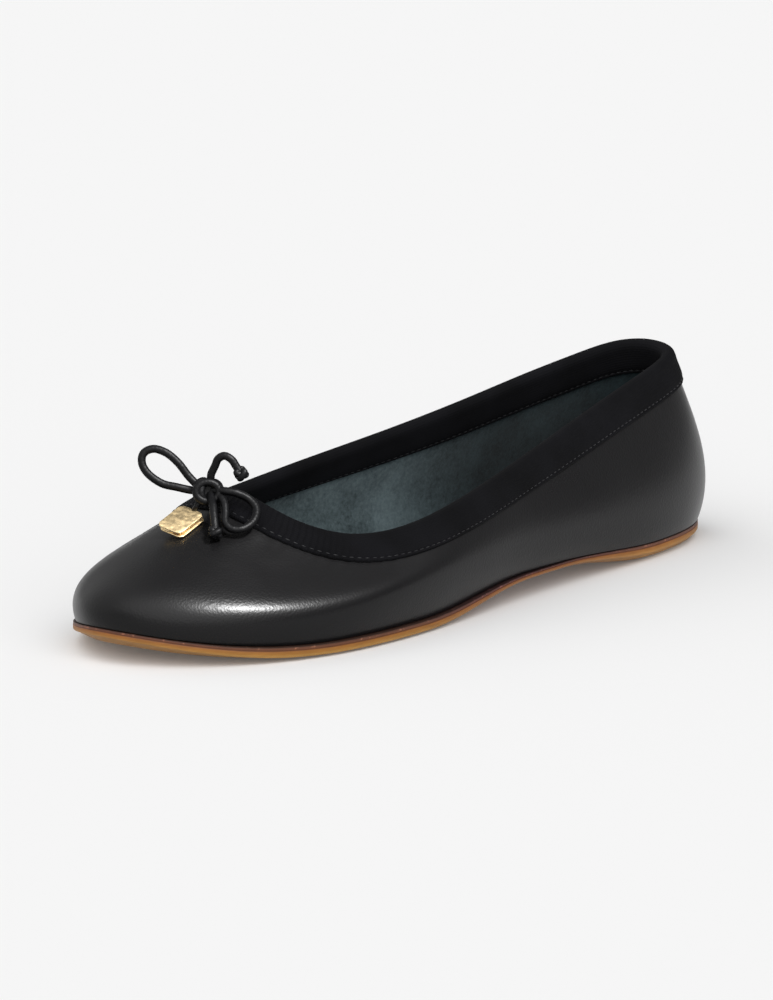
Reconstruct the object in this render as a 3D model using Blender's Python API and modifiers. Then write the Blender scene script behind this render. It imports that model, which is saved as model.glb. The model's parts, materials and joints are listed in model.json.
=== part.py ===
"""A ballet flat for the left foot: a black leather upper on a thin tan sole, with a cord bow and a small plate.

Metres. +X runs from heel to toe, +Y is the wearer's left and so the outer side, +Z is up. The shoe stands on
z = 0. It is modelled with x = 0 at the back of the sole, and one empty then carries it to the origin.
"""

import math
from collections import namedtuple

import bmesh
import bpy
import numpy as np
from mathutils import Matrix, Vector

MM = 0.001

# The sizes of the last and the sole.
SOLE_LENGTH = 250 * MM
BALL_WIDTH = 77 * MM
BACK_HEIGHT = 59 * MM
THROAT = 200 * MM
BACK_LEAN = 15 * MM
TOE_SPRING = 6 * MM
WAIST_LIFT = 4.6 * MM
SOLE_THICKNESS = 3.6 * MM
HEEL_THICKNESS = 5.0 * MM
WAIST_THICKNESS = 2.6 * MM
SOLE_EDGE = 3.0 * MM
WAIST_EDGE = 1.6 * MM
TOE_EDGE = 2.3 * MM
SOLE_LEDGE = 1.3 * MM
EDGE_ROUNDING = 0.4 * MM
TREAD_INSET = 4 * MM

# The sizes of the leather, the sock and the binding.
WALL = 1.8 * MM
INSOLE_THICKNESS = 2.2 * MM
INSOLE_INSET = 1.0 * MM
BINDING_WIDTH = 8.5 * MM
BINDING_THICKNESS = 0.9 * MM
CLEARANCE = 0.3 * MM

# The sizes of the bow and the plate under it.
CORD = 2.2 * MM
KNOT_LENGTH = 9.2 * MM
KNOT_RADIUS = 4.1 * MM
KNOT_FORWARD = 8.0 * MM
STOPPER_RADIUS = 2.2 * MM
PLATE_WIDTH = 7.8 * MM
PLATE_LENGTH = 11.2 * MM
PLATE_THICKNESS = 1.6 * MM
PLATE_CORNER = 1.6 * MM
PLATE_DISTANCE = 19.0 * MM
PLATE_SLIDE = 1.8 * MM
PLATE_ROLL = math.radians(13)
PLATE_TURN = math.radians(4)

AROUND = 64
UP_THE_WALL = 10
CORD_STEP = 2.4 * MM

# The ribs of the upper, from the back of the heel to the tip of the toe at even steps of the half turn that
# x = length * (1 - cos(turn)) / 2 makes. outer and inner are the sole's half widths and collar_outer and
# collar_inner the collar's, as shares of BALL_WIDTH. height_outer and height_inner are the collar's, as shares
# of BACK_HEIGHT. flare is the wall's angle above the level where it leaves the sole, slope its angle below the
# level where it leaves the collar, and low and high are the lengths of the two handles that shape it, as
# shares of the rib's chord. The toe turns a little to the inner side, and so does the collar's front.
Rib = namedtuple(
    "Rib", "outer inner collar_outer collar_inner height_outer height_inner flare slope low high"
)
RIBS = (
    Rib(0.000, 0.000, 0.000, 0.000, 1.000, 1.000, 66, 68, 0.34, 0.34),
    Rib(0.150, 0.158, 0.145, 0.135, 0.980, 0.980, 68, 72, 0.34, 0.32),
    Rib(0.272, 0.273, 0.205, 0.200, 0.930, 0.930, 70, 78, 0.34, 0.30),
    Rib(0.338, 0.328, 0.243, 0.243, 0.860, 0.865, 70, 79, 0.34, 0.30),
    Rib(0.370, 0.355, 0.285, 0.288, 0.765, 0.780, 64, 78, 0.36, 0.32),
    Rib(0.417, 0.405, 0.340, 0.343, 0.665, 0.695, 62, 74, 0.36, 0.32),
    Rib(0.480, 0.473, 0.400, 0.400, 0.580, 0.620, 67, 66, 0.36, 0.34),
    Rib(0.474, 0.490, 0.415, 0.410, 0.510, 0.570, 70, 56, 0.35, 0.36),
    Rib(0.350, 0.425, 0.335, 0.350, 0.495, 0.570, 72, 44, 0.32, 0.38),
    Rib(0.160, 0.238, 0.170, 0.225, 0.590, 0.635, 72, 32, 0.28, 0.43),
    Rib(-0.050, -0.050, -0.026, -0.026, 0.695, 0.695, 72, 27, 0.27, 0.45),
)

# The bow's routes: forward, left and up from the middle of the knot, in millimetres.
LOOP_OUTER = (
    (-1.6, 5.0, 0.6), (-3.2, 7.2, 0.1), (-5.4, 9.5, -1.5), (-5.3, 12.3, -3.9), (-2.4, 13.9, -6.5),
    (1.2, 13.5, -8.1), (3.5, 11.4, -8.2), (3.7, 9.1, -6.7), (1.8, 7.4, -4.4), (0.5, 6.0, -2.6),
)
LOOP_INNER = (
    (1.5, -5.5, 0.1), (3.8, -8.1, 0.9), (6.4, -11.3, 1.9), (8.6, -14.3, 4.5), (9.2, -16.0, 7.4),
    (8.4, -16.0, 10.0), (6.5, -14.1, 11.1), (4.5, -11.3, 10.0), (2.9, -8.5, 7.4), (1.5, -6.1, 3.9),
)
END_OUTER = (
    (-0.5, 0.3, 4.6), (-0.7, 0.8, 5.9), (-0.95, 1.5, 7.4), (-1.2, 2.3, 9.2), (-2.1, 3.8, 10.1), (-3.0, 5.6, 9.1),
    (-3.5, 6.7, 7.4),
)
END_INNER = ((3.6, 4.7, -2.9), (4.7, 5.8, -4.1), (5.7, 6.9, -5.5), (6.6, 7.9, -7.0))

LEATHER = ("black leather", (0.012, 0.012, 0.014, 1), 0.36, 0.0)
SUEDE = ("teal suede", (0.045, 0.085, 0.095, 1), 0.95, 0.0)
BAND = ("black faille", (0.010, 0.011, 0.018, 1), 0.85, 0.0)
SOLE = ("natural sole leather", (0.52, 0.30, 0.12, 1), 0.6, 0.0)
CORD_BLACK = ("black cord", (0.010, 0.010, 0.013, 1), 0.8, 0.0)
GOLD = ("gold plate", (0.90, 0.68, 0.34, 1), 0.3, 1.0)


def material(finish):
    """A Principled material, made once for each finish."""
    name, colour, roughness, metallic = finish
    found = bpy.data.materials.get(name)
    if found:
        return found
    made = bpy.data.materials.new(name)
    made.use_nodes = True
    shader = made.node_tree.nodes["Principled BSDF"]
    shader.inputs["Base Color"].default_value = colour
    shader.inputs["Roughness"].default_value = roughness
    shader.inputs["Metallic"].default_value = metallic
    made.diffuse_color = colour
    return made


def smooth_step(start, end, x):
    share = np.clip((x - start) / (end - start), 0, 1)
    return share * share * (3 - 2 * share)


def through_ring(values, count):
    """A closed cubic through evenly spaced values, read at count evenly spaced places."""
    values = np.asarray(values, float)
    n = len(values)
    around = np.eye(n)
    before, after = np.roll(around, -1, axis=1), np.roll(around, 1, axis=1)
    slopes = np.linalg.solve(4 * around + before + after, 3 * (np.roll(values, -1) - np.roll(values, 1)))
    place = np.arange(count) * n / count
    first = place.astype(int)
    t = place - first
    nearer, further = first % n, (first + 1) % n
    return (
        (2 * t**3 - 3 * t**2 + 1) * values[nearer]
        + (t**3 - 2 * t**2 + t) * slopes[nearer]
        + (3 * t**2 - 2 * t**3) * values[further]
        + (t**3 - t**2) * slopes[further]
    )


def column(outer, inner=None, side=1, count=AROUND):
    """One column of RIBS round the shoe: up the outer side from heel to toe and back along the inner side."""
    there = [getattr(rib, outer) for rib in RIBS]
    back = [side * getattr(rib, inner or outer) for rib in RIBS]
    return through_ring(there + back[-2:0:-1], count)


def turns(count=AROUND):
    return 2 * np.pi * np.arange(count) / count


def waist(x):
    """How far a place along the shoe belongs to the waist, from 0 to 1."""
    share = x / SOLE_LENGTH
    return smooth_step(0.17, 0.37, share) * (1 - smooth_step(0.44, 0.66, share))


def bottom_height(x):
    """The underside along the shoe: flat under heel and ball, lifted at the waist, sprung at the toe."""
    toe = np.clip((x / SOLE_LENGTH - 0.79) / 0.21, 0, 1) ** 2.4
    return WAIST_LIFT * waist(x) + TOE_SPRING * toe


def sole_top(x):
    """The height of the sole's upper face, where the upper and the insole stand."""
    forward = smooth_step(0.25, 0.60, x / SOLE_LENGTH)
    thickness = HEEL_THICKNESS * (1 - forward) + SOLE_THICKNESS * forward
    return bottom_height(x) + thickness + (WAIST_THICKNESS - thickness) * waist(x)


def edge_thickness(x):
    """The height of the sole's side, which thins at the waist and a little at the toe."""
    toe = smooth_step(0.86, 1.0, x / SOLE_LENGTH)
    return SOLE_EDGE + (WAIST_EDGE - SOLE_EDGE) * waist(x) + (TOE_EDGE - SOLE_EDGE) * toe


def ledge_width(x):
    """How far the sole stands proud of the upper: most at the ball, and hardly at all at heel and toe."""
    share = x / SOLE_LENGTH
    return SOLE_LEDGE * smooth_step(0.25, 0.60, share) * (1 - 0.8 * smooth_step(0.88, 1.0, share))


def outward(points):
    """The level outward normal at each point of a ring seen from above."""
    along = np.roll(points, -1, axis=0) - np.roll(points, 1, axis=0)
    normal = np.stack([-along[:, 1], along[:, 0], np.zeros(len(points))], axis=1)
    if np.dot(normal[len(points) // 4], (0, 1, 0)) < 0:
        normal = -normal
    return normal / np.linalg.norm(normal, axis=1)[:, None]


def feather_line(count=AROUND):
    """Where the upper meets the sole."""
    x = SOLE_LENGTH * (1 - np.cos(turns(count))) / 2
    y = BALL_WIDTH * column("outer", "inner", -1, count)
    return np.stack([x, y, sole_top(x)], axis=1)


def collar_line(count=AROUND):
    """The edge of the upper at the collar, under the fold of the binding."""
    x = BACK_LEAN + (THROAT - BACK_LEAN) * (1 - np.cos(turns(count))) / 2
    y = BALL_WIDTH * column("collar_outer", "collar_inner", -1, count)
    fold = WALL / 2 + CLEARANCE + BINDING_THICKNESS
    return np.stack([x, y, BACK_HEIGHT * column("height_outer", "height_inner", 1, count) - fold], axis=1)


def wall(shares, count=AROUND):
    """Points of the upper's outer face: one row round the shoe for each share of the way up."""
    feather, collar = feather_line(count), collar_line(count)
    feather[:, 2] += CLEARANCE
    chord = np.linalg.norm(collar - feather, axis=1)[:, None]
    flare, slope = (np.radians(column(name, count=count))[:, None] for name in ("flare", "slope"))
    low, high = (column(name, count=count)[:, None] * chord for name in ("low", "high"))
    up = np.array([0.0, 0.0, 1.0])
    lower = feather + low * (np.cos(flare) * outward(feather) + np.sin(flare) * up)
    upper = collar + high * (np.cos(slope) * outward(collar) - np.sin(slope) * up)
    t = np.asarray(shares, float)[:, None, None]
    return (
        (1 - t) ** 3 * feather
        + 3 * t * (1 - t) ** 2 * lower
        + 3 * t**2 * (1 - t) * upper
        + t**3 * collar
    )


def wall_normals(rows):
    """Outward normals of a grid of wall points, one row round the shoe after another."""
    round_the_shoe = np.roll(rows, -1, axis=1) - np.roll(rows, 1, axis=1)
    up_the_wall = np.gradient(rows, axis=0)
    normal = np.cross(up_the_wall, round_the_shoe)
    return normal / np.linalg.norm(normal, axis=2)[:, :, None]


def down_from_collar(distances, count=AROUND):
    """Points of the wall at these distances below the collar, their normals, and the way up the wall."""
    rows = wall(np.linspace(0, 1, 61), count)
    normals = wall_normals(rows)
    steps = np.linalg.norm(np.diff(rows[::-1], axis=0), axis=2)
    below = np.vstack([np.zeros(count), np.cumsum(steps, axis=0)])
    points, outs = np.empty((len(distances), count, 3)), np.empty((len(distances), count, 3))
    for i in range(count):
        for axis in range(3):
            points[:, i, axis] = np.interp(distances, below[:, i], rows[::-1, i, axis])
            outs[:, i, axis] = np.interp(distances, below[:, i], normals[::-1, i, axis])
    return points, outs, rows[-1] - rows[-2]


def new_object(name, mesh, finish, parent):
    made = bpy.data.objects.new(name, mesh)
    mesh.materials.append(material(finish))
    made.parent = parent
    bpy.data.collections["ballet_flat"].objects.link(made)
    return made


def loft(name, rings, finish, parent, caps=True, closed_section=False):
    """Rings of equal count joined one after another, their ends capped by strips across the shoe."""
    shape = bmesh.new()
    made = [[shape.verts.new(point) for point in ring] for ring in rings]
    count = len(made[0])
    pairs = list(zip(made, made[1:]))
    if closed_section:
        pairs.append((made[-1], made[0]))
    for lower, upper in pairs:
        for i in range(count):
            j = (i + 1) % count
            shape.faces.new((lower[i], lower[j], upper[j], upper[i]))
    for ring in (made[0], made[-1]) if caps else ():
        across = [(ring[i], ring[-i]) for i in range(1, count // 2)]
        shape.faces.new((ring[0], across[0][0], across[0][1]))
        for (a, b), (c, d) in zip(across, across[1:]):
            shape.faces.new((a, c, d, b))
        shape.faces.new((across[-1][0], ring[count // 2], across[-1][1]))
    bmesh.ops.recalc_face_normals(shape, faces=shape.faces)
    mesh = bpy.data.meshes.new(name)
    shape.to_mesh(mesh)
    shape.free()
    mesh.shade_smooth()
    mesh.set_sharp_from_angle(angle=math.radians(40))
    return new_object(name, mesh, finish, parent)


def grown(ring, by, height):
    """A ring moved outward by a distance, at these heights."""
    moved = ring + np.broadcast_to(by, len(ring))[:, None] * outward(ring)
    moved[:, 2] = height
    return moved


def make_outsole(parent):
    """The sole: a tread on the floor, a rounded lower edge, a thin side and a ledge round the upper."""
    ring = feather_line()
    top, bottom = sole_top(ring[:, 0]), bottom_height(ring[:, 0])
    side, ledge = edge_thickness(ring[:, 0]), ledge_width(ring[:, 0])
    tread = grown(ring, -TREAD_INSET, 0)
    tread[:, 2] = bottom_height(tread[:, 0])
    middle = grown(ring, -TREAD_INSET / 3, np.maximum(bottom, (bottom + top - side) / 2))
    lower = grown(ring, ledge - EDGE_ROUNDING, top - side)
    upper = grown(ring, ledge, top - side * 0.25)
    rim = grown(ring, ledge - EDGE_ROUNDING, top)
    return loft("outsole", [tread, middle, lower, upper, rim], SOLE, parent)


def make_insole(parent):
    """The sock inside, on the sole and clear of the wall all round."""
    ring = feather_line()
    inset = WALL + CLEARANCE + INSOLE_INSET
    seat = sole_top(ring[:, 0]) + CLEARANCE
    rounding = INSOLE_THICKNESS / 3
    lower = grown(ring, -inset, seat)
    side = grown(ring, -inset, seat + INSOLE_THICKNESS - rounding)
    upper = grown(ring, -inset - rounding, seat + INSOLE_THICKNESS)
    return loft("insole", [lower, side, upper], SUEDE, parent)


def make_upper(parent):
    """The wall of the upper, open at the collar and underneath."""
    rows = wall(np.linspace(0, 1, UP_THE_WALL + 1))
    made = loft("upper", rows, LEATHER, parent, caps=False)
    thickness = made.modifiers.new("wall", "SOLIDIFY")
    thickness.thickness = WALL
    thickness.offset = -1
    thickness.use_even_offset = True
    return made


def make_binding(parent):
    """The band folded over the collar: down the outside, over the edge and down the inside."""
    legs = np.linspace(1, 0.06, 4) * BINDING_WIDTH
    points, outs, up = down_from_collar(legs)
    edge, edge_out, _ = down_from_collar([0.0])
    edge, edge_out = edge[0], edge_out[0]
    up = up - np.sum(up * edge_out, axis=1)[:, None] * edge_out
    up /= np.linalg.norm(up, axis=1)[:, None]
    middle = edge - edge_out * WALL / 2
    over = np.radians((0, 36, 72, 108, 144, 180))

    def skin(offset):
        radius = WALL / 2 + offset
        outside = [p + n * offset for p, n in zip(points, outs)]
        fold = [middle + radius * (math.cos(a) * edge_out + math.sin(a) * up) for a in over]
        inside = [p - n * (WALL + offset) for p, n in zip(points[::-1], outs[::-1])]
        return outside + fold + inside

    outer = skin(CLEARANCE + BINDING_THICKNESS)
    inner = skin(CLEARANCE)
    rings = outer + inner[::-1]
    return loft("topline_binding", rings, BAND, parent, caps=False, closed_section=True)


def throat_frame():
    """The middle of the collar at the throat on the binding's skin, and the way out of the leather there."""
    points, outs, _ = down_from_collar([KNOT_FORWARD])
    toe = AROUND // 2
    skin = CLEARANCE + BINDING_THICKNESS
    return Vector(points[0, toe] + outs[0, toe] * skin), Vector(outs[0, toe])


def knot_centre():
    point, out = throat_frame()
    return point + out * (KNOT_RADIUS + CLEARANCE)


def smooth_route(points, step):
    """A Catmull-Rom curve through a route's points, read at even steps of its length."""
    points = np.asarray(points, float)
    ends = np.vstack([2 * points[0] - points[1], points, 2 * points[-1] - points[-2]])
    fine = []
    for a, b, c, d in zip(ends, ends[1:], ends[2:], ends[3:]):
        for t in np.linspace(0, 1, 12, endpoint=False):
            fine.append(
                (2 * b + (c - a) * t + (2 * a - 5 * b + 4 * c - d) * t**2 + (3 * b - a - 3 * c + d) * t**3) / 2
            )
    fine = np.array(fine + [points[-1]])
    length = np.concatenate([[0], np.cumsum(np.linalg.norm(np.diff(fine, axis=0), axis=1))])
    places = np.linspace(0, length[-1], max(2, round(length[-1] / step)) + 1)
    return np.stack([np.interp(places, length, fine[:, axis]) for axis in range(3)], axis=1)


def make_cord(name, route, parent):
    """A stretch of the bow's round cord along a route that starts and ends clear of the knot."""
    centre = knot_centre()
    points = smooth_route([centre + Vector(p) * MM for p in route], CORD_STEP)
    curve = bpy.data.curves.new(name, "CURVE")
    curve.dimensions = "3D"
    curve.bevel_depth = CORD / 2
    curve.bevel_resolution = 2
    curve.use_fill_caps = True
    line = curve.splines.new("POLY")
    line.points.add(len(points) - 1)
    for made, point in zip(line.points, points):
        made.co = (*point, 1)
    return new_object(name, curve, CORD_BLACK, parent)


def make_ball(name, centre, radius, finish, parent):
    """A stopper knot: a ball of cord."""
    shape = bmesh.new()
    bmesh.ops.create_uvsphere(shape, u_segments=12, v_segments=8, radius=radius)
    mesh = bpy.data.meshes.new(name)
    shape.to_mesh(mesh)
    shape.free()
    mesh.shade_smooth()
    made = new_object(name, mesh, finish, parent)
    made.location = centre
    return made


def make_stopper(name, route, parent):
    """The stopper knot on the end of one of the bow's ends."""
    last, before = (knot_centre() + Vector(p) * MM for p in (route[-1], route[-2]))
    away = (last - before).normalized()
    return make_ball(name, last + away * (STOPPER_RADIUS + CLEARANCE), STOPPER_RADIUS, CORD_BLACK, parent)


def make_knot(parent):
    """The bow's knot: a short barrel of three turns of cord, lying across the throat."""
    half = KNOT_LENGTH / 2
    wraps = 3
    profile = [(0.0, half)]
    for i in range(2 * wraps + 1):
        share = i / (2 * wraps)
        bulge = 1.0 if i % 2 else 0.86
        taper = math.sqrt(1 - 0.55 * (2 * share - 1) ** 2)
        profile.append((KNOT_RADIUS * bulge * taper, half - KNOT_LENGTH * (0.06 + 0.88 * share)))
    profile.append((0.0, -half))
    mesh = bpy.data.meshes.new("bow_knot")
    mesh.from_pydata([(r, 0, z) for r, z in profile], [(i, i + 1) for i in range(len(profile) - 1)], [])
    made = new_object("bow_knot", mesh, CORD_BLACK, parent)
    turn = made.modifiers.new("turn", "SCREW")
    turn.steps = turn.render_steps = 16
    turn.use_merge_vertices = True
    turn.merge_threshold = 0.01 * MM
    turn.use_smooth_shade = True
    made.location = knot_centre()
    made.rotation_euler = (math.radians(90), 0, math.radians(8))
    return made


def plate_placing():
    """The plate's frame on the vamp, its outer edge rolled down to the leather: across, down, out and middle."""
    points, outs, _ = down_from_collar([PLATE_DISTANCE - MM, PLATE_DISTANCE, PLATE_DISTANCE + MM])
    toe = AROUND // 2
    out = Vector(outs[1, toe])
    down = Vector(points[2, toe] - points[0, toe]).normalized()
    middle = Vector(points[1, toe])
    middle += down.cross(out).normalized() * PLATE_SLIDE
    lift = CLEARANCE + PLATE_THICKNESS / 2 + math.sin(PLATE_ROLL) * PLATE_WIDTH / 2
    middle += out * lift
    down = Matrix.Rotation(PLATE_TURN, 4, out) @ down
    out = Matrix.Rotation(-PLATE_ROLL, 4, down) @ out
    return middle, out.cross(down), down, out


def make_plate(parent):
    """The flat plate, with round corners and softened edges."""
    middle, across, down, out = plate_placing()
    shape = bmesh.new()
    bmesh.ops.create_cube(shape, size=1)
    bmesh.ops.scale(shape, vec=(PLATE_WIDTH, PLATE_LENGTH, PLATE_THICKNESS), verts=shape.verts)
    corners = [e for e in shape.edges if abs(e.verts[0].co.z - e.verts[1].co.z) > PLATE_THICKNESS / 2]
    bmesh.ops.bevel(shape, geom=corners, offset=PLATE_CORNER, segments=4, profile=0.5, affect="EDGES", material=-1)
    mesh = bpy.data.meshes.new("charm_plate")
    shape.to_mesh(mesh)
    shape.free()
    made = new_object("charm_plate", mesh, GOLD, parent)
    soften = made.modifiers.new("soften", "BEVEL")
    soften.width = PLATE_THICKNESS / 5
    soften.segments = 2
    soften.limit_method = "ANGLE"
    made.matrix_local = Matrix.Translation(middle) @ Matrix((across, down, out)).transposed().to_4x4()
    return made


def centre_on_origin(holder):
    """The middle of the shoe's box, the bow's cord aside, comes over the origin."""
    bpy.context.view_layer.update()
    graph = bpy.context.evaluated_depsgraph_get()
    corners = [
        piece.matrix_world @ Vector(corner)
        for piece in holder.children
        if not piece.name.startswith("bow_")
        for corner in piece.evaluated_get(graph).bound_box
    ]
    for axis in (0, 1):
        places = [corner[axis] for corner in corners]
        holder.location[axis] = -(min(places) + max(places)) / 2


def build():
    for old in list(bpy.data.objects):
        bpy.data.objects.remove(old)
    parts = bpy.data.collections.new("ballet_flat")
    bpy.context.scene.collection.children.link(parts)
    holder = bpy.data.objects.new("left_shoe", None)
    parts.objects.link(holder)
    make_outsole(holder)
    make_insole(holder)
    make_upper(holder)
    make_binding(holder)
    make_knot(holder)
    make_cord("bow_loop_outer", LOOP_OUTER, holder)
    make_cord("bow_loop_inner", LOOP_INNER, holder)
    make_cord("bow_end_outer", END_OUTER, holder)
    make_cord("bow_end_inner", END_INNER, holder)
    make_stopper("bow_stopper_outer", END_OUTER, holder)
    make_stopper("bow_stopper_inner", END_INNER, holder)
    make_plate(holder)
    centre_on_origin(holder)


build()
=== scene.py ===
"""The left ballet flat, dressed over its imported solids: a black leather upper lined with teal
suede, a padded faille binding, a cord bow with a small gold plate, and a thin leather sole.

Metres. +X is the toe, +Y the outer side, +Z up. The last and the sole follow the same sizes and
the same table of ribs as the solids do, measured from the back of the sole, and SHOE carries them
to the frame's origin.
"""

import json
import math
from collections import namedtuple

import bmesh
import bpy
import numpy as np
from mathutils import Matrix, Vector

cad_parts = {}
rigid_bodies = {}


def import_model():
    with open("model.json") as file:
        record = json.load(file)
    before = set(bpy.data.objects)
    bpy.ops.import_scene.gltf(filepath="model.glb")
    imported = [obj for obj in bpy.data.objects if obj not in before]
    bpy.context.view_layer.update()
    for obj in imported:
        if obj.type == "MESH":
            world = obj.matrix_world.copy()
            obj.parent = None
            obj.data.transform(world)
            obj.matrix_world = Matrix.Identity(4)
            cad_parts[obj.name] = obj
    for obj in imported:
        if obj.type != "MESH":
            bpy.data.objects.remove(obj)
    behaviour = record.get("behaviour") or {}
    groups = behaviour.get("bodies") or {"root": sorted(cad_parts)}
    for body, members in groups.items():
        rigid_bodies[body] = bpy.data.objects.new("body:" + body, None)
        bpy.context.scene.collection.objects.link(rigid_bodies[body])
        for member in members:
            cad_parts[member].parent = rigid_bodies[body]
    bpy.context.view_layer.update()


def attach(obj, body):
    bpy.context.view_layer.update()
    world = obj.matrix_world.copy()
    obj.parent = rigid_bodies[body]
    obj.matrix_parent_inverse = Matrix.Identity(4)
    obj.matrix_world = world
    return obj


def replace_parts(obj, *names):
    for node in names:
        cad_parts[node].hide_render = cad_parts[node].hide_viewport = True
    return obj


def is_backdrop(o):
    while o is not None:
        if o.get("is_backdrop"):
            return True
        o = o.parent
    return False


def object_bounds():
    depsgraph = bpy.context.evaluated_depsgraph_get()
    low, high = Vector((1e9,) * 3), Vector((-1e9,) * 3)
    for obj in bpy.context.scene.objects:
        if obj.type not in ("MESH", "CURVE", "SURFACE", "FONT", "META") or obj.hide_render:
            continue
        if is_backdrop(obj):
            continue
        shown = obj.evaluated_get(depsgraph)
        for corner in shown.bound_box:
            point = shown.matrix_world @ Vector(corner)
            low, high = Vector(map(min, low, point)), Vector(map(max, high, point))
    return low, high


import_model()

MM = 0.001
SHOE = np.array([-124.224, 0.170, 0.0]) * MM

# Sizes of the last and the sole.
SOLE_LENGTH = 250 * MM
BALL_WIDTH = 77 * MM
BACK_HEIGHT = 59 * MM
THROAT = 200 * MM
BACK_LEAN = 15 * MM
TOE_SPRING = 6 * MM
WAIST_LIFT = 4.6 * MM
SOLE_THICKNESS = 3.6 * MM
HEEL_THICKNESS = 5.0 * MM
WAIST_THICKNESS = 2.6 * MM
SOLE_EDGE = 3.0 * MM
WAIST_EDGE = 1.6 * MM
TOE_EDGE = 2.3 * MM
SOLE_LEDGE = 1.3 * MM
TREAD_INSET = 4 * MM

# Where the sole changes, as shares of its length: the waist comes and goes, the heel thins to the
# ball, the edge thins and the ledge narrows at the toe, and the toe springs up, ever more steeply.
WAIST_COMES = (0.17, 0.37)
WAIST_GOES = (0.44, 0.66)
HEEL_TO_BALL = (0.25, 0.60)
EDGE_THINS = (0.86, 1.0)
LEDGE_NARROWS = (0.88, 1.0)
LEDGE_LOSS = 0.8
SPRING_STARTS = 0.79
SPRING_REACH = 0.21
SPRING_POWER = 2.4

# Sizes of the leather, the lining, the sock and the binding. Its gathers are strongest at a peak on
# either side of the throat, in turns round the shoe, and have a least share everywhere.
WALL = 1.8 * MM
LEATHER = 1.0 * MM
LINING_GAP = 0.06 * MM
SOCK = 2.2 * MM
SOCK_INSET = 1.0 * MM
BINDING_WIDTH = 8.5 * MM
BINDING = 0.9 * MM
BINDING_BACK = 0.12 * MM
CLEARANCE = 0.3 * MM
GATHERS = 118
GATHER_DEPTH = 0.09 * MM
GATHER_REACH = 2.6 * MM
GATHER_PEAK = 0.085
GATHER_SPREAD = 0.07
GATHER_LEAST = 0.22

# The seam of the binding, and one stitch: half its length and half its thickness.
SEAM_SHARE = 0.88
SEAM_PADDING = 0.60
STITCH_PITCH = 2.3 * MM
STITCH_LENGTH = 0.78 * MM
STITCH_THICKNESS = 0.20 * MM

# Sizes of the bow and the plate.
CORD = 2.2 * MM
CORD_STEP = 0.5 * MM
FINE_STEP = 0.4 * MM
KNOT_RADIUS = 4.1 * MM
KNOT_FORWARD = 8.0 * MM
WRAP_RADIUS = 2.75 * MM
WRAP_LENGTH = 4.6 * MM
CORE = 4.4 * MM
EYE_WIDE = 3.1 * MM
EYE_HIGH = 2.6 * MM
STOPPER_RADIUS = 2.2 * MM
STOPPER_LOBE = 1.12 * MM
STOPPER_CORD = 0.85 * CORD
PLATE_WIDTH = 7.8 * MM
PLATE_LENGTH = 11.2 * MM
PLATE_THICKNESS = 1.6 * MM
PLATE_DISTANCE = 19.0 * MM
PLATE_SLIDE = 1.8 * MM
PLATE_ROLL = math.radians(13)
PLATE_TURN = math.radians(4)
PLATE_CORNER = 1.7 * MM
PLATE_RIM = 0.12 * MM
TIE = 1.5 * MM

# Cross sections from the back of the shoe to the tip of the toe: half widths of the sole and the
# collar as shares of the ball width, heights of the collar as shares of the back's, how the wall
# leaves the sole (flare) and meets the collar (slope) in degrees, and how long each end of its
# curve pulls, as shares of the wall's straight height.
Rib = namedtuple(
    "Rib", "outer inner collar_outer collar_inner height_outer height_inner flare slope low high"
)
RIBS = (
    Rib(0.000, 0.000, 0.000, 0.000, 1.000, 1.000, 66, 68, 0.34, 0.34),
    Rib(0.150, 0.158, 0.145, 0.135, 0.980, 0.980, 68, 72, 0.34, 0.32),
    Rib(0.272, 0.273, 0.205, 0.200, 0.930, 0.930, 70, 78, 0.34, 0.30),
    Rib(0.338, 0.328, 0.243, 0.243, 0.860, 0.865, 70, 79, 0.34, 0.30),
    Rib(0.370, 0.355, 0.285, 0.288, 0.765, 0.780, 64, 78, 0.36, 0.32),
    Rib(0.417, 0.405, 0.340, 0.343, 0.665, 0.695, 62, 74, 0.36, 0.32),
    Rib(0.480, 0.473, 0.400, 0.400, 0.580, 0.620, 67, 66, 0.36, 0.34),
    Rib(0.474, 0.490, 0.415, 0.410, 0.510, 0.570, 70, 56, 0.35, 0.36),
    Rib(0.350, 0.425, 0.335, 0.350, 0.495, 0.570, 72, 44, 0.32, 0.38),
    Rib(0.160, 0.238, 0.170, 0.225, 0.590, 0.635, 72, 32, 0.28, 0.43),
    Rib(-0.050, -0.050, -0.026, -0.026, 0.695, 0.695, 72, 27, 0.27, 0.45),
)

# The bow's routes: forward, left and up from the middle of the knot, in millimetres.
LOOP_OUTER = (
    (-0.2, 1.0, 0.6), (-0.8, 3.0, 0.7), (-1.6, 5.0, 0.6), (-3.2, 7.2, 0.1), (-5.4, 9.5, -1.5),
    (-5.3, 12.3, -3.9), (-2.4, 13.9, -6.5), (1.2, 13.5, -8.1), (3.5, 11.4, -8.2), (3.7, 9.1, -6.7),
    (1.8, 7.4, -4.4), (0.5, 6.0, -2.6), (-0.3, 4.2, -1.2), (-0.6, 2.2, -0.4),
)
LOOP_INNER = (
    (0.2, -1.0, 0.2), (0.8, -3.2, 0.1), (1.5, -5.5, 0.1), (3.8, -8.1, 0.9), (6.4, -11.3, 1.9),
    (8.6, -14.3, 4.5), (9.2, -16.0, 7.4), (8.4, -16.0, 10.0), (6.5, -14.1, 11.1),
    (4.5, -11.3, 10.0), (2.9, -8.5, 7.4), (1.5, -6.1, 3.9), (0.5, -4.0, 1.7), (0.2, -2.2, 0.6),
)
END_OUTER = (
    (-0.8, -0.1, 1.6), (-0.5, 0.3, 4.6), (-0.7, 0.8, 5.9), (-0.95, 1.5, 7.4), (-1.2, 2.3, 9.2),
    (-2.1, 3.8, 10.1), (-3.0, 5.6, 9.1), (-3.5, 6.7, 7.4),
)
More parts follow.
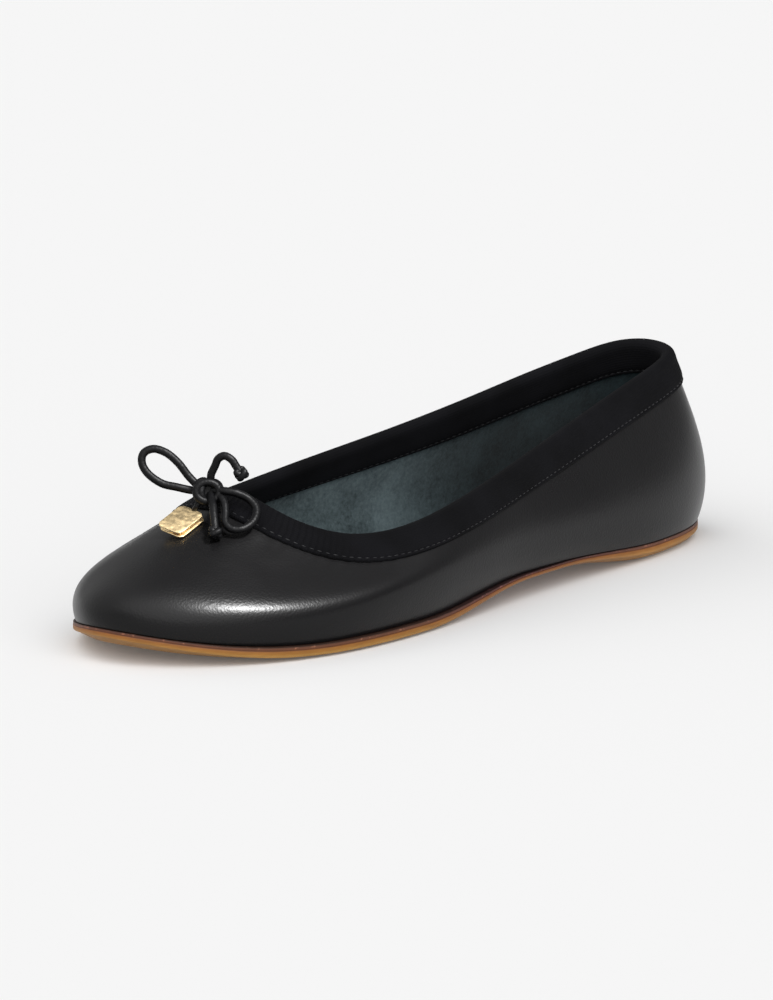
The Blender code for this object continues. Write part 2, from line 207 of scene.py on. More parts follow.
END_INNER = (
    (0.6, 1.0, -0.4), (2.2, 2.9, -1.7), (3.6, 4.7, -2.9), (4.7, 5.8, -4.1), (5.7, 6.9, -5.5),
    (6.6, 7.9, -7.0),
)

# Creases of the leather: where each starts and ends, as turns round the shoe from the back of the
# heel by the outer side (0.5 is the tip of the toe) and shares of the way up the wall, its depth
# and its half width. Each bows a little sideways, and a lip rises on either side of it.
CREASE_BEND = 0.012
LIP_PLACE = 2.1
LIP_HEIGHT = 0.35
Crease = namedtuple("Crease", "from_turn from_up to_turn to_up depth width")
CREASES = (
    Crease(0.478, 0.90, 0.462, 0.52, 0.42, 2.6),
    Crease(0.492, 0.86, 0.490, 0.64, 0.15, 2.0),
    Crease(0.530, 0.90, 0.545, 0.56, 0.30, 3.0),
    Crease(0.452, 0.86, 0.430, 0.62, 0.16, 2.6),
    Crease(0.556, 0.86, 0.585, 0.60, 0.18, 2.6),
    Crease(0.620, 0.74, 0.665, 0.60, 0.14, 3.4),
    Crease(0.250, 0.30, 0.180, 0.42, 0.12, 7.0),
)

# The padding of the binding: where, as a share of its width up to its lower edge, and how thick, as
# a share of its full thickness. The dip is the groove that the seam pulls.
Pad = namedtuple("Pad", "where thick")
PADDING = (
    Pad(1.0, 0.30), Pad(0.985, 0.62), Pad(0.95, 0.80), Pad(0.91, 0.80), Pad(SEAM_SHARE, 0.62),
    Pad(0.85, 0.80), Pad(0.80, 0.98), Pad(0.70, 1.08), Pad(0.58, 1.10), Pad(0.46, 1.06),
    Pad(0.34, 1.02), Pad(0.22, 1.00), Pad(0.12, 1.02), Pad(0.05, 1.04),
)

# The side of the sole, from the floor up: how far past the ledge, in millimetres, and how far above
# the top of the edge, as a share of its thickness. The notch is the seam line.
Side = namedtuple("Side", "out up")
SOLE_SIDE = (
    Side(-0.55, -1.0), Side(-0.20, -0.97), Side(0.0, -0.86), Side(0.05, -0.62),
    Side(0.05, -0.42), Side(-0.02, -0.36), Side(-0.09, -0.32), Side(-0.02, -0.28),
    Side(0.02, -0.16), Side(-0.06, -0.03), Side(-0.28, 0.0),
)

# How the sock is dished: shares of the way from its middle line to its edge, and how deep in
# millimetres.
Dish = namedtuple("Dish", "share dip")
SOCK_DISH = (
    Dish(0.95, 0.02), Dish(0.85, 0.10), Dish(0.7, 0.22),
    Dish(0.5, 0.34), Dish(0.3, 0.42), Dish(0.12, 0.45),
)

# The leaves of the plate, in millimetres: how much narrower than the plate, how thick, and how far
# up and across.
Leaf = namedtuple("Leaf", "narrower thick lift slide")
LEAVES = (Leaf(0.0, 0.62, 0.49, -0.1), Leaf(3.0, 0.6, -0.10, -1.0), Leaf(0.0, 0.43, -0.585, 0.40))


# The shoe's own surfaces.


def smooth_step(start, end, x):
    share = np.clip((x - start) / (end - start), 0, 1)
    return share * share * (3 - 2 * share)


def through_ring(values, count):
    """A closed cubic through evenly spaced values, read at count evenly spaced places."""
    values = np.asarray(values, float)
    n = len(values)
    around = np.eye(n)
    before, after = np.roll(around, -1, axis=1), np.roll(around, 1, axis=1)
    rises = 3 * (np.roll(values, -1) - np.roll(values, 1))
    slopes = np.linalg.solve(4 * around + before + after, rises)
    place = np.arange(count) * n / count
    first = place.astype(int)
    t = place - first
    nearer, further = first % n, (first + 1) % n
    return (
        (2 * t**3 - 3 * t**2 + 1) * values[nearer]
        + (t**3 - 2 * t**2 + t) * slopes[nearer]
        + (3 * t**2 - 2 * t**3) * values[further]
        + (t**3 - t**2) * slopes[further]
    )


def column(outer, inner=None, side=1, count=256):
    """One column of RIBS round the shoe: forward along the outer side and back along the inner."""
    there = [getattr(rib, outer) for rib in RIBS]
    back = [side * getattr(rib, inner or outer) for rib in RIBS]
    return through_ring(there + back[-2:0:-1], count)


def turns(count):
    return 2 * np.pi * np.arange(count) / count


def waist(x):
    share = x / SOLE_LENGTH
    return smooth_step(*WAIST_COMES, share) * (1 - smooth_step(*WAIST_GOES, share))


def bottom_height(x):
    toe = np.clip((x / SOLE_LENGTH - SPRING_STARTS) / SPRING_REACH, 0, 1) ** SPRING_POWER
    return WAIST_LIFT * waist(x) + TOE_SPRING * toe


def sole_top(x):
    forward = smooth_step(*HEEL_TO_BALL, x / SOLE_LENGTH)
    thickness = HEEL_THICKNESS * (1 - forward) + SOLE_THICKNESS * forward
    return bottom_height(x) + thickness + (WAIST_THICKNESS - thickness) * waist(x)


def edge_thickness(x):
    toe = smooth_step(*EDGE_THINS, x / SOLE_LENGTH)
    return SOLE_EDGE + (WAIST_EDGE - SOLE_EDGE) * waist(x) + (TOE_EDGE - SOLE_EDGE) * toe


def ledge_width(x):
    share = x / SOLE_LENGTH
    narrowed = 1 - LEDGE_LOSS * smooth_step(*LEDGE_NARROWS, share)
    return SOLE_LEDGE * smooth_step(*HEEL_TO_BALL, share) * narrowed


def outward(ring):
    """The level outward normal at each point of a ring seen from above."""
    along = np.roll(ring, -1, axis=0) - np.roll(ring, 1, axis=0)
    normal = np.stack([-along[:, 1], along[:, 0], np.zeros(len(ring))], axis=1)
    if normal[len(ring) // 4, 1] < 0:
        normal = -normal
    return normal / np.linalg.norm(normal, axis=1)[:, None]


def grown(ring, by, height):
    """A ring moved outward by a distance, at these heights."""
    moved = ring + np.broadcast_to(by, len(ring))[:, None] * outward(ring)
    moved[:, 2] = height
    return moved


def feather_line(count):
    x = SOLE_LENGTH * (1 - np.cos(turns(count))) / 2
    y = BALL_WIDTH * column("outer", "inner", -1, count)
    return np.stack([x, y, sole_top(x)], axis=1)


def collar_line(count):
    x = BACK_LEAN + (THROAT - BACK_LEAN) * (1 - np.cos(turns(count))) / 2
    y = BALL_WIDTH * column("collar_outer", "collar_inner", -1, count)
    fold = WALL / 2 + CLEARANCE + BINDING
    z = BACK_HEIGHT * column("height_outer", "height_inner", 1, count) - fold
    return np.stack([x, y, z], axis=1)


def wall(shares, count):
    """Rows of the upper's outer face, one for each share of the way up from sole to collar."""
    feather, collar = feather_line(count), collar_line(count)
    feather[:, 2] += CLEARANCE
    chord = np.linalg.norm(collar - feather, axis=1)[:, None]
    flare, slope = (np.radians(column(name, count=count))[:, None] for name in ("flare", "slope"))
    low, high = (column(name, count=count)[:, None] * chord for name in ("low", "high"))
    up = np.array([0.0, 0.0, 1.0])
    lower = feather + low * (np.cos(flare) * outward(feather) + np.sin(flare) * up)
    upper = collar + high * (np.cos(slope) * outward(collar) - np.sin(slope) * up)
    t = np.asarray(shares, float)[:, None, None]
    return (
        (1 - t) ** 3 * feather
        + 3 * t * (1 - t) ** 2 * lower
        + 3 * t**2 * (1 - t) * upper
        + t**3 * collar
    )


def wall_normals(rows):
    round_the_shoe = np.roll(rows, -1, axis=1) - np.roll(rows, 1, axis=1)
    normal = np.cross(np.gradient(rows, axis=0), round_the_shoe)
    return normal / np.linalg.norm(normal, axis=2)[:, :, None]


def down_from_collar(distances, count):
    """Points of the wall this far below the collar, their normals, and the way up at the collar."""
    rows = wall(np.linspace(0, 1, 61), count)
    normals = wall_normals(rows)
    steps = np.linalg.norm(np.diff(rows[::-1], axis=0), axis=2)
    below = np.vstack([np.zeros(count), np.cumsum(steps, axis=0)])
    points, outs = np.empty((len(distances), count, 3)), np.empty((len(distances), count, 3))
    for i in range(count):
        for axis in range(3):
            points[:, i, axis] = np.interp(distances, below[:, i], rows[::-1, i, axis])
            outs[:, i, axis] = np.interp(distances, below[:, i], normals[::-1, i, axis])
    return points, outs, rows[-1] - rows[-2]


def crease_depths(rows):
    """How deep the creases press the leather at each point of a grid of rows."""
    high, count = rows.shape[0], rows.shape[1]
    depth = np.zeros(rows.shape[:2])
    for crease in CREASES:
        steps = np.linspace(0, 1, 25)
        bend = CREASE_BEND * np.sin(np.pi * steps)
        turn = (crease.from_turn + (crease.to_turn - crease.from_turn) * steps + bend) * count
        up = (crease.from_up + (crease.to_up - crease.from_up) * steps) * (high - 1)
        line = rows[np.round(up).astype(int), np.round(turn).astype(int) % count]
        nearest = np.full(rows.shape[:2], 1.0)
        along = np.zeros(rows.shape[:2])
        for step, point in zip(steps, line):
            reach = np.linalg.norm(rows - point, axis=2)
            closer = reach < nearest
            nearest[closer], along[closer] = reach[closer], step
        fade = np.sin(np.pi * (0.12 + 0.88 * along)) ** 0.8
        across = nearest / (crease.width * MM)
        lips = np.exp(-((across - LIP_PLACE) ** 2))
        groove = np.exp(-(across**2)) - LIP_HEIGHT * lips
        depth += crease.depth * MM * fade * groove
    return depth


def gather(count, below):
    """The small gathers that the binding's seam pulls: strongest either side of the throat."""
    turn = np.arange(count) / count
    from_throat = np.abs(turn - 0.5)
    share = np.exp(-(((from_throat - GATHER_PEAK) / GATHER_SPREAD) ** 2)) + GATHER_LEAST
    ripple = np.sin(turn * 2 * np.pi * GATHERS + 1.7 * np.sin(turn * 2 * np.pi * 23))
    return GATHER_DEPTH * share * ripple * np.exp(-below / GATHER_REACH)


# Making pieces.


def add_piece(name, mesh):
    piece = bpy.data.objects.new(name, mesh)
    bpy.context.scene.collection.objects.link(piece)
    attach(piece, "root")
    return piece


def finish_piece(name, shape, look, smooth=45):
    mesh = bpy.data.meshes.new(name)
    shape.to_mesh(mesh)
    shape.free()
    mesh.materials.append(look)
    mesh.shade_smooth()
    mesh.set_sharp_from_angle(angle=math.radians(smooth))
    return add_piece(name, mesh)


def round_the_last(rings, closed=False):
    """A tube from ring to ring: a circle is laid on the first, and each next one is extruded."""
    shape = bmesh.new()
    count = len(rings[0])
    circle = bmesh.ops.create_circle(shape, cap_ends=False, radius=1, segments=count)["verts"]
    laid = [circle]
    for vert, place in zip(circle, rings[0]):
        vert.co = place + SHOE
    edges = list({edge for vert in circle for edge in vert.link_edges})
    for ring in rings[1:]:
        drawn = bmesh.ops.extrude_edge_only(shape, edges=edges)["geom"]
        edges = [item for item in drawn if isinstance(item, bmesh.types.BMEdge)]
        fresh = {item for item in drawn if isinstance(item, bmesh.types.BMVert)}
        edges = [edge for edge in edges if edge.verts[0] in fresh and edge.verts[1] in fresh]
        row = []
        for below in laid[-1]:
            others = (edge.other_vert(below) for edge in below.link_edges)
            row.append(next(vert for vert in others if vert in fresh))
        for vert, place in zip(row, ring):
            vert.co = place + SHOE
        laid.append(row)
    if closed:
        first = [e for e in shape.edges if e.is_boundary and e.verts[0] in set(laid[0])]
        bmesh.ops.bridge_loops(shape, edges=first + edges)
    return shape, laid


def unwrap(shape, laid, length, heights):
    """A map that follows the surface: u goes round the shoe and v across the rings."""
    layer = shape.loops.layers.uv.new("UVMap")
    place = {}
    count = len(laid[0])
    for row, height in zip(laid, heights):
        for i, vert in enumerate(row):
            place[vert] = (i, height)
    for face in shape.faces:
        spots = [place[loop.vert][0] for loop in face.loops]
        wraps = max(spots) - min(spots) > count / 2
        for loop in face.loops:
            i, height = place[loop.vert]
            if wraps and i < count / 2:
                i += count
            loop[layer].uv = (i / count * length, height)


def close_across(shape, row):
    """Closes a ring by strips from one side of the shoe to the other."""
    count = len(row)
    bmesh.ops.contextual_create(shape, geom=[row[0], row[1], row[-1]])
    for i in range(1, count // 2 - 1):
        bmesh.ops.contextual_create(shape, geom=[row[i], row[i + 1], row[-i - 1], row[-i]])
    bmesh.ops.contextual_create(shape, geom=row[count // 2 - 1 : count // 2 + 2])


def make_upper():
    """The black leather: one wall over the sole, with creases, and gathers below the binding."""
    count, high = 384, 72
    shares = np.linspace(0, 1, high + 1) ** 0.96
    rows = wall(shares, count)
    normals = wall_normals(rows)
    below = np.cumsum(np.linalg.norm(np.diff(rows[::-1], axis=0), axis=2), axis=0)[::-1]
    below = np.vstack([below, np.zeros(count)])
    from_binding = np.abs(below - BINDING_WIDTH)
    press = -crease_depths(rows) * smooth_step(0.0, 0.10, shares)[:, None]
    press += gather(count, from_binding)
    press *= smooth_step(BINDING_WIDTH * 0.75, BINDING_WIDTH, below)
    outer = rows + normals * press[:, :, None]
    inner = outer - normals * LEATHER
    shape, _ = round_the_last(list(outer) + list(inner[::-1]), closed=True)
    bmesh.ops.recalc_face_normals(shape, faces=shape.faces)
    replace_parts(finish_piece("upper_leather", shape, black_leather()), "upper")


def make_lining():
    """The suede lining, inside the leather."""
    count, high = 256, 40
    rows = wall(np.linspace(0.0, 0.985, high + 1), count)
    normals = wall_normals(rows)
    outer = rows - normals * (LEATHER + LINING_GAP)
    inner = rows - normals * WALL
    shape, _ = round_the_last(list(outer) + list(inner[::-1]), closed=True)
    bmesh.ops.recalc_face_normals(shape, faces=shape.faces)
    # The lining's suede is painted darker than the sock's, as painted shade inside the walls.
    finish_piece("suede_lining", shape, teal_suede("lining suede", 0.75))


def make_binding():
    """The padded faille band, folded over the topline, with a groove near its lower edges."""
    count = 512
    across, pad = np.array(PADDING).T
    legs = across * BINDING_WIDTH
    points, outs, up = down_from_collar(legs, count)
    edge, edge_out, _ = down_from_collar([0.0], count)
    edge, edge_out = edge[0], edge_out[0]
    up = up - np.sum(up * edge_out, axis=1)[:, None] * edge_out
    up /= np.linalg.norm(up, axis=1)[:, None]
    middle = edge - edge_out * WALL / 2
    over = np.radians(np.linspace(0, 180, 13))
    to_edge = [np.full(count, (1 - share) * BINDING_WIDTH) for share in across]
    ripple = [gather(count, distance)[:, None] for distance in to_edge]

    def skin(off, ripples):
        outside = [p + n * (o + r) for p, n, o, r in zip(points, outs, off, ripples)]
        radius = WALL / 2 + off[-1]
        fold = [middle + radius * (math.cos(a) * edge_out + math.sin(a) * up) for a in over[1:-1]]
        inside = [p - n * (WALL + o) for p, n, o in zip(points[::-1], outs[::-1], off[::-1])]
        return outside + fold + inside

    outer = skin(CLEARANCE + BINDING * pad, ripple)
    inner = skin(np.full(len(across), BINDING_BACK), np.zeros(len(across)))
    rings = outer + inner[::-1]
    shape, laid = round_the_last(rings, closed=True)
    steps = [
        np.linalg.norm(further[count // 8] - nearer[count // 8])
        for nearer, further in zip(rings, rings[1:])
    ]
    profile = np.concatenate([[0], np.cumsum(steps)])
    around = np.linalg.norm(np.roll(edge, -1, axis=0) - edge, axis=1).sum()
    unwrap(shape, laid, around, profile)
    bmesh.ops.recalc_face_normals(shape, faces=shape.faces)
    piece = finish_piece("faille_binding", shape, black_faille(), 60)
    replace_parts(piece, "topline_binding")


def make_stitches():
    """The seam of the binding: short stitches in the groove, outside and inside."""
    count = 720
    points, outs, _ = down_from_collar([SEAM_SHARE * BINDING_WIDTH], count)
    line, out = points[0], outs[0]
    steps = np.linalg.norm(np.roll(line, -1, axis=0) - line, axis=1)
    travelled = np.concatenate([[0], np.cumsum(steps)])
    number = round(travelled[-1] / STITCH_PITCH)
    shape = bmesh.new()
    bead = bmesh.new()
    bmesh.ops.create_uvsphere(bead, u_segments=6, v_segments=5, radius=1)
    bmesh.ops.scale(bead, vec=(STITCH_LENGTH, STITCH_THICKNESS, STITCH_THICKNESS), verts=bead.verts)
    bead_mesh = bpy.data.meshes.new("stitch")
    bead.to_mesh(bead_mesh)
    bead.free()
    closed_line, closed_out = np.vstack([line, line[:1]]), np.vstack([out, out[:1]])

    def read(values, at):
        return np.array([np.interp(at, travelled, values[:, axis]) for axis in range(3)])

    padding = CLEARANCE + BINDING * SEAM_PADDING
    for side, lift in ((1, padding), (-1, -(WALL + padding))):
        for i in range(number):
            at = (i + 0.5) / number * travelled[-1]
            spot, normal = read(closed_line, at), read(closed_out, at)
            ahead = read(closed_line, at + 0.5 * MM)
            z = Vector(normal) * side
            x = Vector(ahead - spot).normalized()
            y = z.cross(x).normalized()
            before = len(shape.verts)
            shape.from_mesh(bead_mesh)
            shape.verts.ensure_lookup_table()
            turn = Matrix((x, y, z.normalized())).transposed().to_4x4()
            place = Matrix.Translation(Vector(spot + normal * lift + SHOE)) @ turn
            bmesh.ops.transform(shape, matrix=place, verts=shape.verts[before:])
    bpy.data.meshes.remove(bead_mesh)
    finish_piece("binding_stitches", shape, black_thread())


def make_sole():
    """The leather sole: tread, rounded lower edge, side with its seam line, and ledge."""
    count = 320
    ring = feather_line(count)
    x = ring[:, 0]
    top, bottom = sole_top(x), bottom_height(x)
    side, ledge = edge_thickness(x), ledge_width(x)
    rings = []
    for inset in (TREAD_INSET * 2.2, TREAD_INSET):
        tread = grown(ring, -inset, 0)
        tread[:, 2] = bottom_height(tread[:, 0])
        rings.append(tread)
    rings.append(grown(ring, -TREAD_INSET / 3, np.maximum(bottom, (bottom + top - side) / 2)))
    rings += [grown(ring, ledge + out * MM, top + up * side) for out, up in SOLE_SIDE]
    rings += [grown(ring, -inset * MM, top) for inset in (0.6, 2.0)]
    shape, laid = round_the_last(rings)
    close_across(shape, laid[0])
    close_across(shape, laid[-1])
    heights = [-0.2, -0.1, -0.05] + [1 + row.up for row in SOLE_SIDE] + [1.1, 1.2]
    unwrap(shape, laid, length=0.6, heights=heights)
    bmesh.ops.recalc_face_normals(shape, faces=shape.faces)
    piece = finish_piece("leather_sole", shape, sole_leather(), 40)
    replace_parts(piece, "outsole")


def make_sock():
    """The suede sock on the sole, a little dished, its edge turned up against the lining."""
    count = 192
    ring = feather_line(count)
    inset = WALL + CLEARANCE + SOCK_INSET
    seat = sole_top(ring[:, 0]) + CLEARANCE
    edge = grown(ring, -inset - 0.3 * MM, seat + SOCK)
    rings = [grown(ring, -inset, seat), grown(ring, -inset, seat + SOCK * 0.8), edge]
    centre = edge.copy()
    centre[1:, 1] = (edge[1:, 1] + edge[:0:-1, 1]) / 2
    for share, dip in SOCK_DISH:
        step = centre + (edge - centre) * share
        step[:, 2] = sole_top(step[:, 0]) + CLEARANCE + SOCK - dip * MM
        rings.append(step)
    shape, laid = round_the_last(rings)
    close_across(shape, laid[0])
    close_across(shape, laid[-1])
    bmesh.ops.recalc_face_normals(shape, faces=shape.faces)
    piece = finish_piece("suede_sock", shape, teal_suede("sock suede", 1.0))
    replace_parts(piece, "insole")


# The bow.


def throat_frame():
    points, outs, _ = down_from_collar([KNOT_FORWARD], 64)
    skin = CLEARANCE + BINDING
    return Vector(points[0, 32] + outs[0, 32] * skin), Vector(outs[0, 32])


def knot_centre():
    point, out = throat_frame()
    return point + out * (KNOT_RADIUS + CLEARANCE) + Vector(SHOE)


def smooth_route(points, step):
    """A Catmull-Rom curve through a route's points, read at even steps of its length."""
    points = np.asarray(points, float)
    ends = np.vstack([2 * points[0] - points[1], points, 2 * points[-1] - points[-2]])
    fine = []
    for a, b, c, d in zip(ends, ends[1:], ends[2:], ends[3:]):
        square, cube = 2 * a - 5 * b + 4 * c - d, 3 * b - a - 3 * c + d
        for t in np.linspace(0, 1, 12, endpoint=False):
            fine.append((2 * b + (c - a) * t + square * t**2 + cube * t**3) / 2)
    fine = np.array(fine + [points[-1]])
    length = np.concatenate([[0], np.cumsum(np.linalg.norm(np.diff(fine, axis=0), axis=1))])
    places = np.linspace(0, length[-1], max(2, round(length[-1] / step)) + 1)
    return np.stack([np.interp(places, length, fine[:, axis]) for axis in range(3)], axis=1)


def lay_cord(name, points, diameter, look):
    """A round cord along a route, made a mesh that keeps the curve's map."""
    curve = bpy.data.curves.new(name, "CURVE")
    curve.dimensions = "3D"
    curve.bevel_depth = diameter / 2
    curve.bevel_resolution = 5
    curve.use_fill_caps = True
    line = curve.splines.new("POLY")
    line.points.add(len(points) - 1)
    for made, point in zip(line.points, points):
        made.co = (*point, 1)
    rope = bpy.data.objects.new(name, curve)
    bpy.context.scene.collection.objects.link(rope)
    bpy.context.view_layer.update()
    graph = bpy.context.evaluated_depsgraph_get()
    mesh = bpy.data.meshes.new_from_object(rope.evaluated_get(graph))
    bpy.data.objects.remove(rope)
    mesh.name = name
    mesh.materials.clear()
    mesh.materials.append(look)
    mesh.shade_smooth()
    return add_piece(name, mesh)


def bow_route(route):
    centre = knot_centre()
    return smooth_route([centre + Vector(p) * MM for p in route], CORD_STEP)


def make_bow():
    look = black_cord()
    for name, route in (("bow_loop_outer", LOOP_OUTER), ("bow_loop_inner", LOOP_INNER)):
        points = bow_route(route)
        loop = lay_cord("cord_" + name, points, CORD, look)
        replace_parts(loop, name)
    for name, route in (("bow_end_outer", END_OUTER), ("bow_end_inner", END_INNER)):
        last, before = np.array(route[-1]), np.array(route[-2])
        way = last - before
        into_ball = tuple(last + STOPPER_RADIUS / MM * way / np.linalg.norm(way))
        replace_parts(lay_cord("cord_" + name, bow_route([*route, into_ball]), CORD, look), name)
    for name, route in (("bow_stopper_outer", END_OUTER), ("bow_stopper_inner", END_INNER)):
        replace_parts(stopper_knot("cord_" + name, route, look), name)
    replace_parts(bow_knot(look), "bow_knot")


def stopper_knot(name, route, look):
    """A small overhand knot at the end of the cord: its two crossings pulled into a ball."""
    last, before = (Vector(p) * MM for p in (route[-1], route[-2]))
    away = (last - before).normalized()
    centre = knot_centre() + last + away * (STOPPER_RADIUS + CLEARANCE)
    side = away.orthogonal().normalized()
    top = away.cross(side)
    points = []
    for i in range(72):
        t = 2 * math.pi * i / 72
        across = 0.72 * (math.sin(t) + 2 * math.sin(2 * t)) / 2
        over = 0.72 * (math.cos(t) - 2 * math.cos(2 * t)) / 2
        through = 0.85 * -math.sin(3 * t)
        points.append(centre + (side * across + away * over + top * through) * STOPPER_LOBE)
    points.append(points[0])
    return lay_cord(name, points, STOPPER_CORD, look)


def bow_knot(look):
    """The knot: two wraps of the cord, and over them an eye that faces forward and outward."""
    centre = knot_centre()
    _, out = throat_frame()
    across = Vector((0.20, 0.97, 0.06)).normalized()
    down = out.cross(across).normalized()
    out = across.cross(down)
    points = []
    for i in range(61):
        t = i / 30
        slide = (t / 2 - 0.62) * WRAP_LENGTH
        angle = 2 * math.pi * t + 0.9
        spoke = down * math.cos(angle) + out * math.sin(angle)
        points.append(centre + across * slide + spoke * WRAP_RADIUS)
    facing = Vector((0.68, 0.70, 0.22)).normalized()
    side = facing.cross(Vector((0, 0, 1))).normalized()
    up = side.cross(facing)
    middle = centre + facing * 1.7 * MM + side * 0.5 * MM
    eye = [
        middle + side * math.cos(a) * EYE_WIDE + up * math.sin(a) * EYE_HIGH
        for a in (math.pi * (1.35 - 2 * i / 40) for i in range(41))
    ]
    eye[0], eye[-1] = eye[0] - facing * 0.7 * MM, eye[-1] - facing * 0.7 * MM
    core = [centre - across * 2.4 * MM, centre, centre + facing * 1.2 * MM]
    lay_cord("cord_knot_core", core, CORE, look)
    lay_cord("cord_knot_eye", smooth_route(eye, FINE_STEP), CORD, look)
    return lay_cord("cord_bow_knot", points, CORD, look)


# The plate.


def plate_placing():
    distances = [PLATE_DISTANCE - MM, PLATE_DISTANCE, PLATE_DISTANCE + MM]
    points, outs, _ = down_from_collar(distances, 64)
    out = Vector(outs[1, 32])
    down = Vector(points[2, 32] - points[0, 32]).normalized()
    middle = Vector(points[1, 32]) + down.cross(out).normalized() * PLATE_SLIDE
    middle += out * (CLEARANCE + PLATE_THICKNESS / 2 + math.sin(PLATE_ROLL) * PLATE_WIDTH / 2)
    down = Matrix.Rotation(PLATE_TURN, 4, out) @ down
    out = Matrix.Rotation(-PLATE_ROLL, 4, down) @ out
    return middle + Vector(SHOE), out.cross(down), down, out


def make_plate():
    """The gold plate: two leaves and, between them, a narrower one that leaves a slit."""
    middle, across, down, out = plate_placing()
    shape = bmesh.new()
    soften = {"profile": 0.5, "affect": "EDGES", "material": -1}
    for kind in LEAVES:
        thick = kind.thick * MM
        leaf = bmesh.ops.create_cube(shape, size=1)["verts"]
        size = (PLATE_WIDTH - kind.narrower * MM, PLATE_LENGTH, thick)
        bmesh.ops.scale(shape, vec=size, verts=leaf)
        bmesh.ops.translate(shape, vec=(kind.slide * MM, 0, kind.lift * MM), verts=leaf)
        edges = {edge for vert in leaf for edge in vert.link_edges}
        corners = [e for e in edges if abs(e.verts[0].co.z - e.verts[1].co.z) > thick / 2]
        bmesh.ops.bevel(shape, geom=corners, offset=PLATE_CORNER, segments=6, **soften)
    rims = [e for e in shape.edges if e.is_manifold and e.calc_face_angle(0) > 1.0]
    bmesh.ops.bevel(shape, geom=rims, offset=PLATE_RIM, segments=3, **soften)
    place = Matrix.Translation(middle) @ Matrix((across, down, out)).transposed().to_4x4()
    bmesh.ops.transform(shape, matrix=place, verts=shape.verts)
    bmesh.ops.recalc_face_normals(shape, faces=shape.faces)
    piece = finish_piece("gold_plate", shape, hammered_gold(), 30)
    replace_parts(piece, "charm_plate")
    knot = knot_centre()
    tie = [
        middle - down * 3.6 * MM - out * 0.2 * MM, middle - down * 5.6 * MM + out * 0.1 * MM,
        knot + Vector((3.6, -1.2, -3.4)) * MM, knot + Vector((1.6, -0.6, -1.6)) * MM,
    ]
    lay_cord("plate_tie", smooth_route(tie, FINE_STEP), TIE, black_cord())


# Looks. Lengthwise ramps run from the back of the shoe to the tip of its toe, in metres from the
# frame's origin.
SHOE_SPAN = (-0.125, 0.125)


class Look:
    """A Principled material and a few short ways to wire its nodes."""

    def __init__(self, name, colour, roughness, **sockets):
        self.material = bpy.data.materials.new(name)
        self.material.use_nodes = True
        self.tree = self.material.node_tree
        self.shader = self.tree.nodes["Principled BSDF"]
        self.feed("Base Color", (*colour, 1))
        self.feed("Roughness", roughness)
        for socket, value in sockets.items():
            self.feed(socket.replace("_", " "), value)
        self.material.diffuse_color = (*colour, 1)
        self.place = self.tree.nodes.new("ShaderNodeTexCoord")

    def join(self, source, socket):
        """A socket, linked to another node's output or set to a value."""
        if hasattr(source, "is_linked"):
            self.tree.links.new(source, socket)
        else:
            socket.default_value = source

    def feed(self, socket, source):
        self.join(source, self.shader.inputs[socket])

    def make(self, kind, **inputs):
        made = self.tree.nodes.new(kind)
        for name, value in inputs.items():
            self.join(value, made.inputs[name.replace("_", " ")])
        return made

    def speckle(self, scale, detail, rough=0.5, vector=None):
        made = self.make("ShaderNodeTexNoise", Scale=scale, Detail=detail, Roughness=rough)
        self.join(vector or self.place.outputs["Object"], made.inputs["Vector"])
        return made.outputs["Fac"]

    def cells(self, scale):
        made = self.make("ShaderNodeTexVoronoi", Scale=scale, Vector=self.place.outputs["Object"])
        made.feature = "SMOOTH_F1"
        return made.outputs["Distance"]

    def wave(self, direction, **inputs):
        made = self.make("ShaderNodeTexWave", Vector=self.place.outputs["UV"], **inputs)
        made.bands_direction = direction
        return made.outputs["Fac"]

    def ramp(self, source, stops):
        made = self.tree.nodes.new("ShaderNodeValToRGB")
        self.join(source, made.inputs["Fac"])
        ends = made.color_ramp.elements
        while len(ends) < len(stops):
            ends.new(0.5)
        for end, (at, colour) in zip(ends, stops):
            end.position = at
            end.color = (*colour, 1)
        return made.outputs["Color"]

    def span(self, source, low, high, start, end):
        """The source, carried from start and end to low and high."""
        ends = {"To_Min": low, "To_Max": high, "From_Min": start, "From_Max": end}
        return self.make("ShaderNodeMapRange", Value=source, **ends).outputs["Result"]

    def lengthwise(self, back, front):
        """0 behind one place along the shoe and 1 beyond another."""
        along = self.make("ShaderNodeSeparateXYZ", Vector=self.place.outputs["Object"]).outputs["X"]
        return self.span(along, 0.0, 1.0, back, front)

    def bump(self, height, distance, strength, over=None):
        made = self.make("ShaderNodeBump", Height=height, Distance=distance, Strength=strength)
        if over is not None:
            self.join(over, made.inputs["Normal"])
        return made.outputs["Normal"]

    def times(self, a, b):
        made = self.tree.nodes.new("ShaderNodeMix")
        made.data_type, made.blend_type = "RGBA", "MULTIPLY"
        made.inputs["Factor"].default_value = 1.0
        for socket, value in zip([i for i in made.inputs if i.type == "RGBA"], (a, b)):
            self.join(value, socket)
        return next(o for o in made.outputs if o.type == "RGBA")

    def math(self, operation, a, b):
        made = self.tree.nodes.new("ShaderNodeMath")
        made.operation = operation
        for socket, value in zip(made.inputs, (a, b)):
            self.join(value, socket)
        return made.outputs[0]


def black_leather():
    """Smooth calf, semi-gloss, with a fine grain and a slight unevenness in its polish."""
    look = Look("black calf", (0.0026, 0.0025, 0.0027), 0.3, Specular_IOR_Level=0.19)
    look.feed("Roughness", look.span(look.speckle(26, 3), 0.26, 0.34, 0.3, 0.7))
    soft = look.bump(look.speckle(110, 2), 0.00007, 0.3)
    grain = look.bump(look.cells(1700), 0.00005, 0.65, soft)
    look.feed("Normal", look.bump(look.speckle(4200, 2), 0.00002, 0.5, grain))
    return look.material


